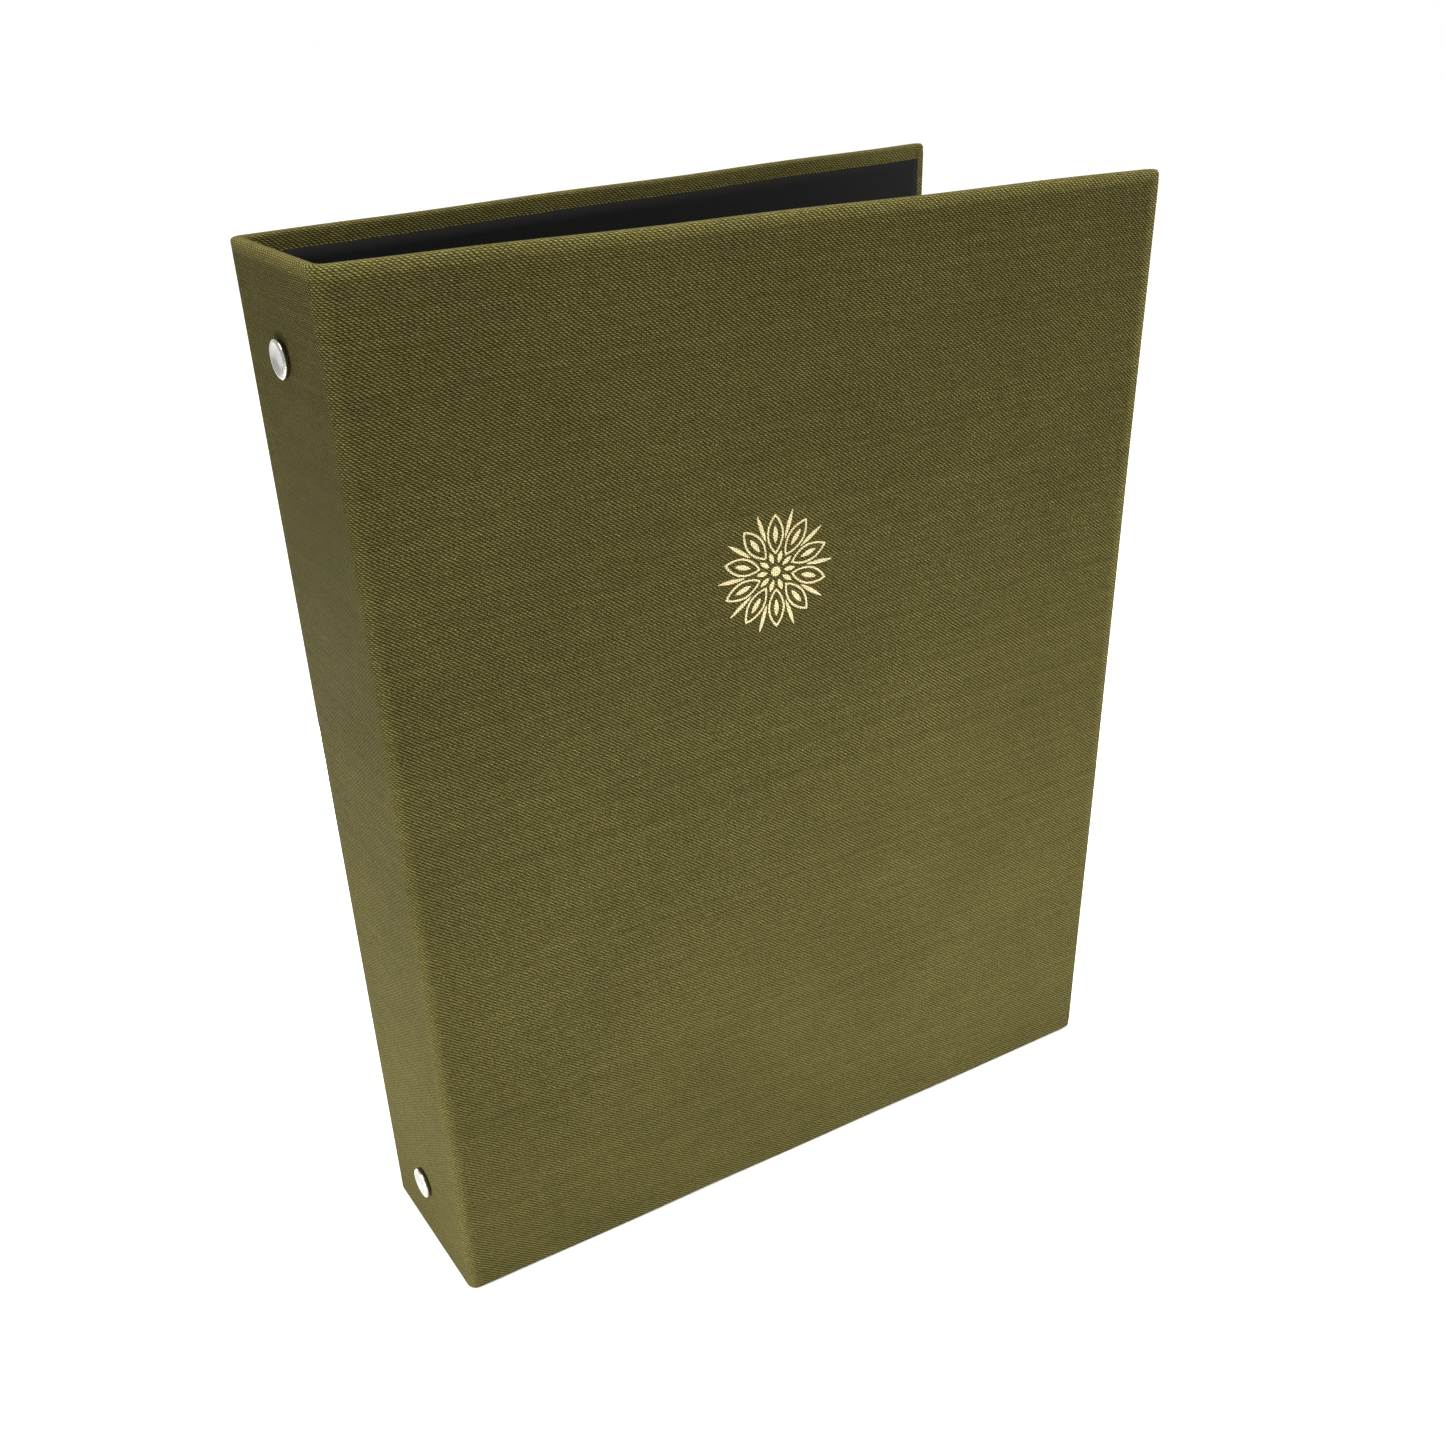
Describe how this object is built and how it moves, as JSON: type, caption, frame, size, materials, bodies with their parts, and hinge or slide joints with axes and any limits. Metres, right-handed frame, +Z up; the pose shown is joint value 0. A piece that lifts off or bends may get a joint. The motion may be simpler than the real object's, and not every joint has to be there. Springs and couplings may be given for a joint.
{
  "type": "ring binder album",
  "caption": "Standing cloth-covered ring album with two hinged covers, lined inside, and a lever ring mechanism riveted to its spine.",
  "frame": {"origin": "middle of the spine panel's foot, on the surface that the album stands on", "axes": "+Z up along the spine, +X from the spine towards the fore edges, +Y across the spine from the front cover to the back cover"},
  "size_m": [0.2464, 0.1034, 0.32],
  "materials": {
    "book_cloth": "matt olive plain-weave book cloth",
    "greyboard": "raw",
    "lining_paper": "matt black",
    "nickel_plate": "bright nickel",
    "plain_steel": "zinc plated",
    "gold_foil": "stamped foil broken up by the weave"
  },
  "bodies": {
    "spine": {"spine_cloth": "book_cloth", "spine_board": "greyboard", "spine_liner": "lining_paper", "front_hinge_cloth": "book_cloth", "back_hinge_cloth": "book_cloth", "front_hinge_lining": "lining_paper", "back_hinge_lining": "lining_paper", "ring_housing": "nickel_plate", "upper_rivet": "nickel_plate", "lower_rivet": "nickel_plate", "upper_lever_pin": "plain_steel", "lower_lever_pin": "plain_steel"},
    "front_cover": {"front_cover_cloth": "book_cloth", "front_board": "greyboard", "front_liner": "lining_paper", "foil_ornament": "gold_foil"},
    "back_cover": {"back_cover_cloth": "book_cloth", "back_board": "greyboard", "back_liner": "lining_paper"},
    "front_wing": {"front_blade": "plain_steel", "front_half_ring_1": "nickel_plate", "front_half_ring_2": "nickel_plate", "front_half_ring_3": "nickel_plate", "front_half_ring_4": "nickel_plate"},
    "back_wing": {"back_blade": "plain_steel", "back_half_ring_1": "nickel_plate", "back_half_ring_2": "nickel_plate", "back_half_ring_3": "nickel_plate", "back_half_ring_4": "nickel_plate"},
    "upper_lever": {"upper_lever": "nickel_plate"},
    "lower_lever": {"lower_lever": "nickel_plate"}
  },
  "joints": [
    {"name": "front_cover_hinge", "type": "hinge", "parent": "spine", "child": "front_cover", "pos_m": [-0.00096, -0.02686, 0.16], "axis": [0, 0, -1], "range_deg": [-7.9, 92]},
    {"name": "back_cover_hinge", "type": "hinge", "parent": "spine", "child": "back_cover", "pos_m": [-0.00096, 0.02686, 0.16], "axis": [0, 0, 1], "range_deg": [-3.5, 92]},
    {"name": "upper_lever_pivot", "type": "hinge", "parent": "spine", "child": "upper_lever", "pos_m": [0.0052, 0, 0.307], "axis": [0, -1, 0], "range_deg": [0, 30]},
    {"name": "lower_lever_pivot", "type": "hinge", "parent": "spine", "child": "lower_lever", "pos_m": [0.0052, 0, 0.013], "axis": [0, 1, 0], "range_deg": [0, 30]},
    {"name": "front_wing_pivot", "type": "hinge", "parent": "spine", "child": "front_wing", "pos_m": [0.0068, -0.0116, 0.16], "axis": [0, 0, -1], "range_deg": [0, 12]},
    {"name": "back_wing_pivot", "type": "hinge", "parent": "spine", "child": "back_wing", "pos_m": [0.0068, 0.0116, 0.16], "axis": [0, 0, 1], "range_deg": [0, 12]}
  ],
  "couplings": [
    {"joint": "lower_lever_pivot", "follows": "upper_lever_pivot", "ratio": 1},
    {"joint": "front_wing_pivot", "follows": "upper_lever_pivot", "ratio": 0.4},
    {"joint": "back_wing_pivot", "follows": "upper_lever_pivot", "ratio": 0.4}
  ]
}
